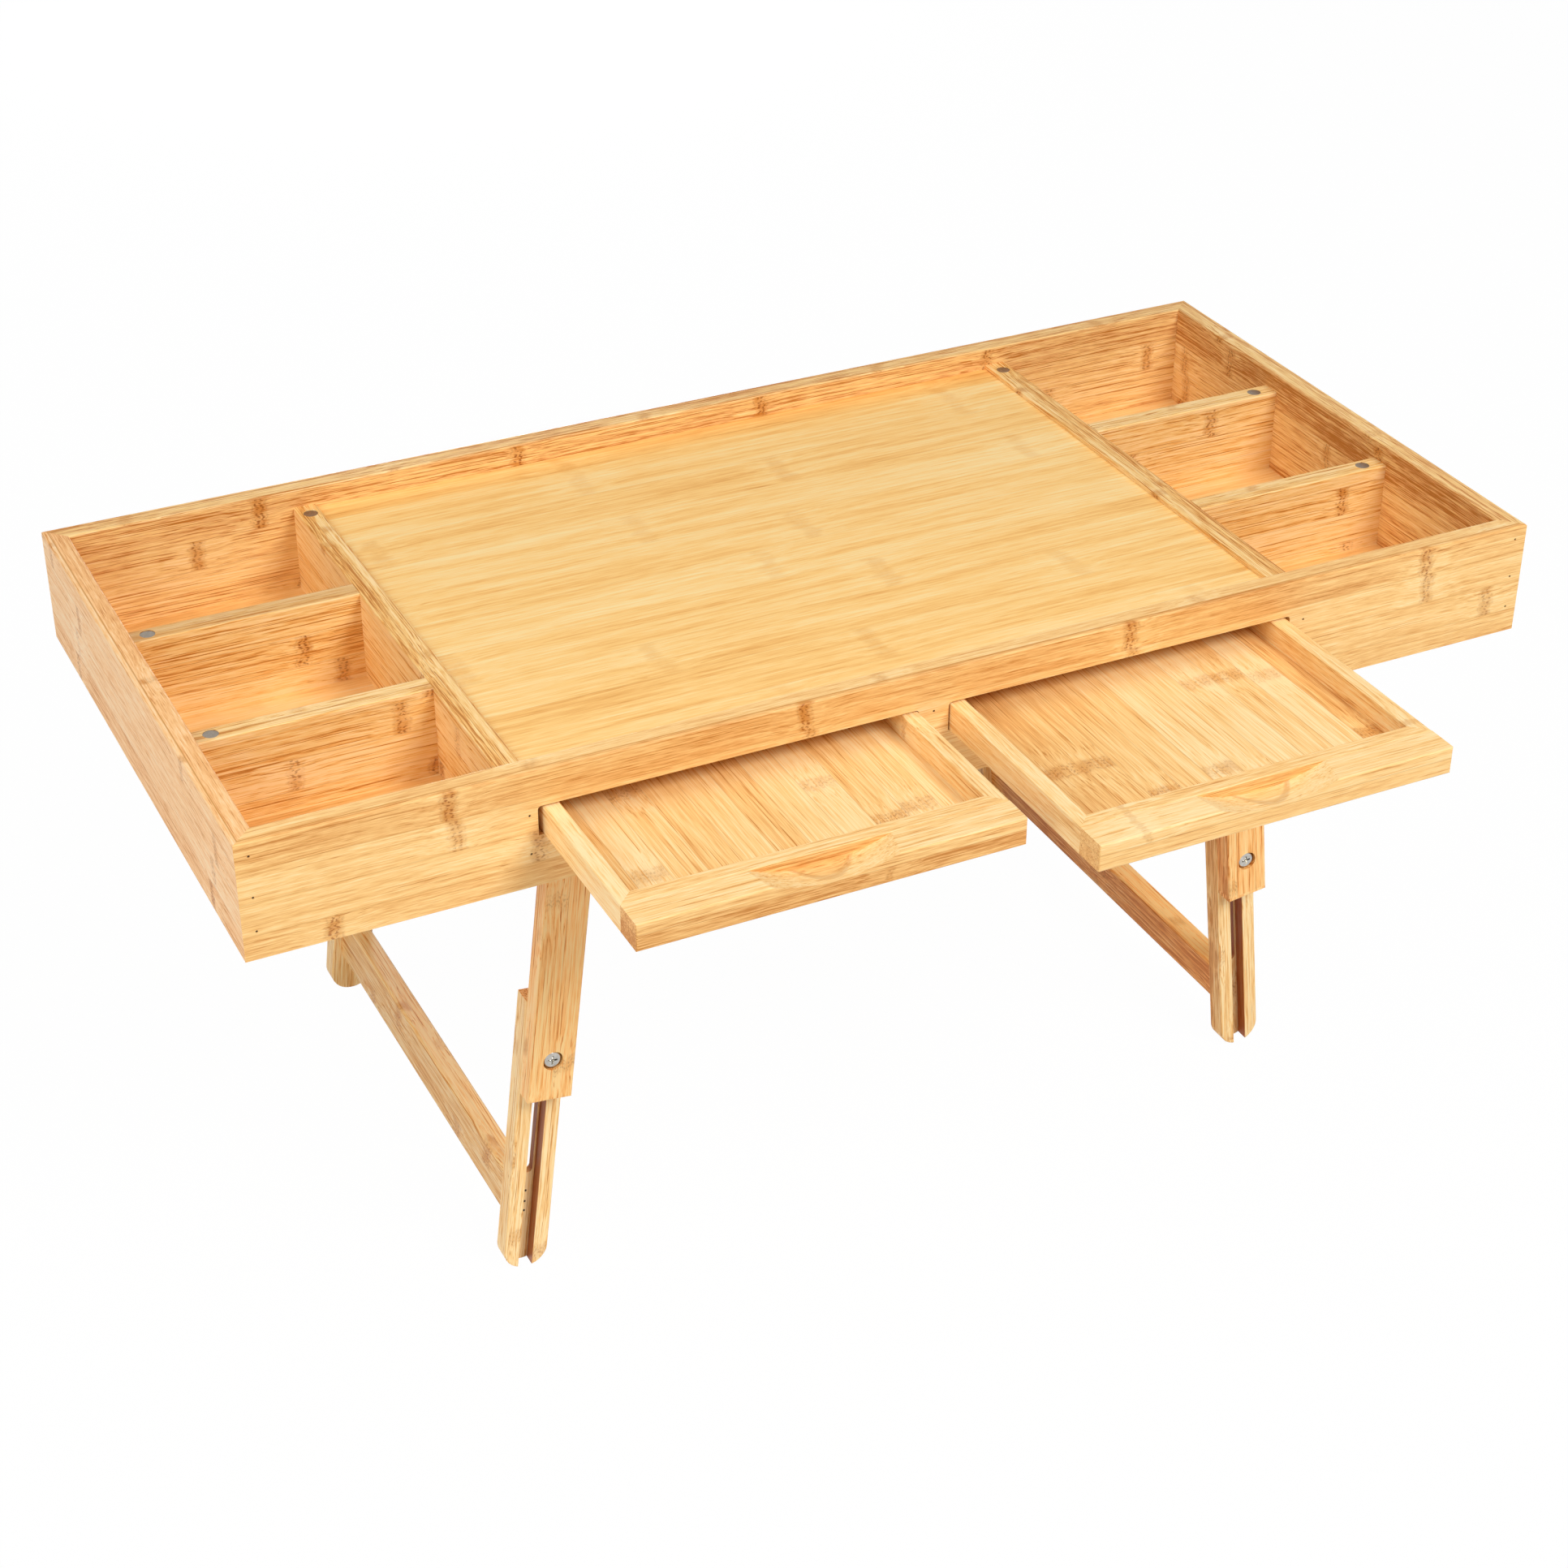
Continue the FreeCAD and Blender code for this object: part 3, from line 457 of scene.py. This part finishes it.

# The legs are milled from narrow strips on edge, and lean out by the angle at which they stand
# The legs' lift and redder tones are partly the wood's own tone and partly painted light, making up for the
# shade under the case
legLook = {
    "stripWidth": 15.0, "layer": 7.5, "shift": (0.0, 0.5), "strip": 0.08, "lift": 0.21,
    "fibre": (20.0, 0.8, 2.0), "line": (90.0, 1.5, 2.1), "streak": (90.0, 0.9, 0.8),
    "nodeEvery": 170.0, "nodeReach": 9.0, "wander": (30.0, 5.0, 18.0), "seamShare": (0.2, 0.2),
    "nodeColour": "#D08A3A", "nodeShare": 0.65, "speckColour": "#A85A1C", "speckShare": 0.75,
    "tones": {0.0: "#CC7628", 0.28: "#F2A654", 0.56: "#FFC174", 1.0: "#FFD895"},
}
lowerLegLook = dict(legLook, lift=0.26, tones=bambooLook["tones"])
legSideShade = {"left": 0.0, "right": -0.42}  # painted shade: the right legs' side faces are darker
# Painted light and shade on the stretchers: each one's top is paler than its sides, and the right stretcher's
# sides are darker still
stretcherLook = {
    "left": {**legLook, "stripWidth": 15.5, "lift": 0.08, "edge": 0.3, "tones": bambooLook["tones"]},
    "right": {**legLook, "stripWidth": 15.5, "lift": -0.3, "edge": 0.76},
}
legStance = {
    "lean": math.radians(7),
    "grooveHalf": 5.0,  # mm
    "grooveShadeLip": 1.0,  # mm at each face of the leg that the painted groove shade leaves clear
}
leanSin = math.sin(legStance["lean"])
leanCos = math.cos(legStance["lean"])
legUp = {"left": (leanSin, 0, leanCos), "right": (-leanSin, 0, leanCos)}
legAside = {"left": (leanCos, 0, -leanSin), "right": (leanCos, 0, leanSin)}
for side in ("left", "right"):
    boltLow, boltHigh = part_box(f"{side}_clamp_bolts")
    boltMiddle = (Vector(boltLow) + Vector(boltHigh)) / 2  # on the middle line of the legs
    for index, part in enumerate(("front_upper_leg", "back_upper_leg", "front_lower_leg", "back_lower_leg")):
        nodeName = f"{side}_{part}"
        low, high = (Vector(corner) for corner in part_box(nodeName))
        changes = dict(legLook, edge=legSideShade[side])
        if "lower" in part:
            halfThick = (high.y - low.y) / mm / 2
            grooveMiddle = Vector(legAside[side]).dot(boltMiddle - low) / mm
            changes = dict(lowerLegLook, edge=legSideShade[side], groove=(
                (grooveMiddle, legStance["grooveHalf"]),
                (halfThick + legLook["shift"][1], halfThick - legStance["grooveShadeLip"]),
            ))
        seed = firstSeed[side + "Leg"] + index
        grain, across = legUp[side], legAside[side]
        dress(nodeName, bamboo("lacqueredBamboo." + nodeName, low, grain, across, seed, **changes))
    nodeName = f"{side}_stretcher"
    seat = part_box(nodeName)[0]
    seed = firstSeed[side + "Stretcher"]
    changes = stretcherLook[side]
    dress(nodeName, bamboo("lacqueredBamboo." + nodeName, seat, alongY, legUp[side], seed, **changes))
print("legs dressed")


# Zinc-plated steel, rolled and tumbled: bright silver made a little warm and darker, partly as painted
# reflection of the wood and the dark hole round it, with a faint cloudy sheen
# Brass inserts, turned: yellow, with a soft shine. Nickel-plated magnets, ground flat: a warm, duller grey
# Bare steel brads, drawn and set below the surface: dark, dull dots
metalLooks = {
    "zincPlatedSteel": {
        "bright": "#DEDAD2", "dull": "#989590", "roughness": (0.1, 0.22), "cloud": 3.0, "bump": 0.03,
        "nodes": [
            "left_clamp_bolts", "right_clamp_bolts", "left_clamp_washers", "right_clamp_washers",
            "leg_pivot_bolts", "leg_pivot_washers", "left_front_wing_nut", "left_back_wing_nut",
            "right_front_wing_nut", "right_back_wing_nut",
        ],
    },
    "brassInsert": {
        "bright": "#D8B878", "dull": "#B8965A", "roughness": (0.28, 0.42), "cloud": 2.0, "bump": 0.03,
        "nodes": ["leg_pivot_inserts"],
    },
    "groundNickelPlate": {
        "bright": "#A99F92", "dull": "#786E63", "roughness": (0.24, 0.40), "cloud": 1.2, "bump": 0.05,
        "nodes": ["lid_magnets"],
    },
    "bareSteelBrad": {
        "bright": "#6B5A48", "dull": "#3E3228", "roughness": (0.45, 0.65), "cloud": 0.8, "bump": 0.05,
        "nodes": ["panel_brads", "left_stretcher_nails", "right_stretcher_nails"],
    },
}
metalCloud = {
    "detail": 3.0,
    "noiseRoughness": 0.6,
    "cut": (0.3, 0.7),  # noise at which the metal is smoothest and roughest
    "bumpHeight": 0.3,  # mm
}


def metal(name, look):
    material, tree, shader = newMaterial(name)
    objectPlace = addNode(tree, "ShaderNodeTexCoord").outputs["Object"]
    cloud = addNode(tree, "ShaderNodeTexNoise", {
        "Vector": objectPlace, "Scale": 1 / (look["cloud"] * mm),
        "Detail": metalCloud["detail"], "Roughness": metalCloud["noiseRoughness"],
    }).outputs[0]
    colour = addNode(tree, "ShaderNodeMix", {
        "Factor": cloud, 6: hexColour(look["bright"]), 7: hexColour(look["dull"]),
    }, data_type="RGBA").outputs[2]
    tree.links.new(colour, shader.inputs["Base Color"])
    rough = addNode(tree, "ShaderNodeMapRange", {
        "Value": cloud, "From Min": metalCloud["cut"][0], "From Max": metalCloud["cut"][1],
        "To Min": look["roughness"][0], "To Max": look["roughness"][1],
    }).outputs[0]
    tree.links.new(rough, shader.inputs["Roughness"])
    bump = addNode(tree, "ShaderNodeBump", {
        "Strength": look["bump"], "Distance": metalCloud["bumpHeight"] * mm, "Height": cloud,
    }).outputs[0]
    tree.links.new(bump, shader.inputs["Normal"])
    shader.inputs["Metallic"].default_value = 1.0
    return material


for name, look in metalLooks.items():
    finish = metal(name, look)
    for nodeName in look["nodes"]:
        dress(nodeName, finish)
print("metal dressed")


# Studio: white floor that keeps a soft shadow, white surround, a broad key lamp and three weaker ones
studio = {
    "floorSize": 12.0,  # m
    "floorColour": "#F4F3F1",
    "floorRoughness": 0.9,
    "floorGlow": 0.985,  # share of plain white that the camera sees in the floor
    "surround": 0.1,  # strength of the light that comes from all round
    "lamps": {
        "keyLamp": {"place": (0.9, -2.3, 2.6), "size": 1.5, "power": 80.0},
        "fillLamp": {"place": (-2.0, -0.6, 1.6), "size": 2.0, "power": 31.0},
        "topLamp": {"place": (0.0, 0.1, 2.6), "size": 2.0, "power": 9.0},
        "backLamp": {"place": (0.7, 2.8, 0.32), "size": 0.6, "power": 28.0},  # too low to light the top
    },
    "aim": (0.0, 0.05, 0.33),
}


def seenDirectly(tree):
    path = addNode(tree, "ShaderNodeLightPath")
    camera = addNode(tree, "ShaderNodeMath", {
        0: path.outputs["Is Camera Ray"], 1: path.outputs["Is Glossy Ray"],
    }, operation="MAXIMUM").outputs[0]
    return addNode(tree, "ShaderNodeMath", {
        0: camera, 1: path.outputs["Is Transmission Ray"],
    }, operation="MAXIMUM").outputs[0]


def setStudio(look):
    world = bpy.data.worlds.new("studioSurround")
    scene.world = world
    world.use_nodes = True
    tree = world.node_tree
    background = tree.nodes["Background"]
    background.inputs["Color"].default_value = (1, 1, 1, 1)
    strength = addNode(tree, "ShaderNodeMath", {
        0: seenDirectly(tree), 1: 1 - look["surround"], 2: look["surround"],
    }, operation="MULTIPLY_ADD").outputs[0]
    tree.links.new(strength, background.inputs["Strength"])

    # painted floor: flat and matt, and plain white to the camera
    material, tree, shader = newMaterial("paintedFloor")
    shader.inputs["Base Color"].default_value = hexColour(look["floorColour"])
    shader.inputs["Roughness"].default_value = look["floorRoughness"]
    shader.inputs["Specular IOR Level"].default_value = 0.0
    glow = addNode(tree, "ShaderNodeEmission", {"Color": (1, 1, 1, 1), "Strength": 1.0}).outputs[0]
    share = addNode(tree, "ShaderNodeMath", {
        0: seenDirectly(tree), 1: look["floorGlow"],
    }, operation="MULTIPLY").outputs[0]
    mixed = addNode(tree, "ShaderNodeMixShader", {0: share, 1: shader.outputs[0], 2: glow}).outputs[0]
    tree.links.new(mixed, tree.nodes["Material Output"].inputs["Surface"])
    bpy.ops.mesh.primitive_plane_add(size=look["floorSize"])
    floor = bpy.context.object
    floor.name = "studioFloor"
    floor.data.materials.append(material)

    for name, lamp in look["lamps"].items():
        data = bpy.data.lights.new(name, "AREA")
        data.shape = "DISK"
        data.size = lamp["size"]
        data.energy = lamp["power"]
        item = bpy.data.objects.new(name, data)
        scene.collection.objects.link(item)
        item.location = lamp["place"]
        item.rotation_euler = (Vector(look["aim"]) - item.location).to_track_quat("-Z", "Y").to_euler()


setStudio(studio)
scene.view_settings.view_transform = "Standard"
print("studio lit")
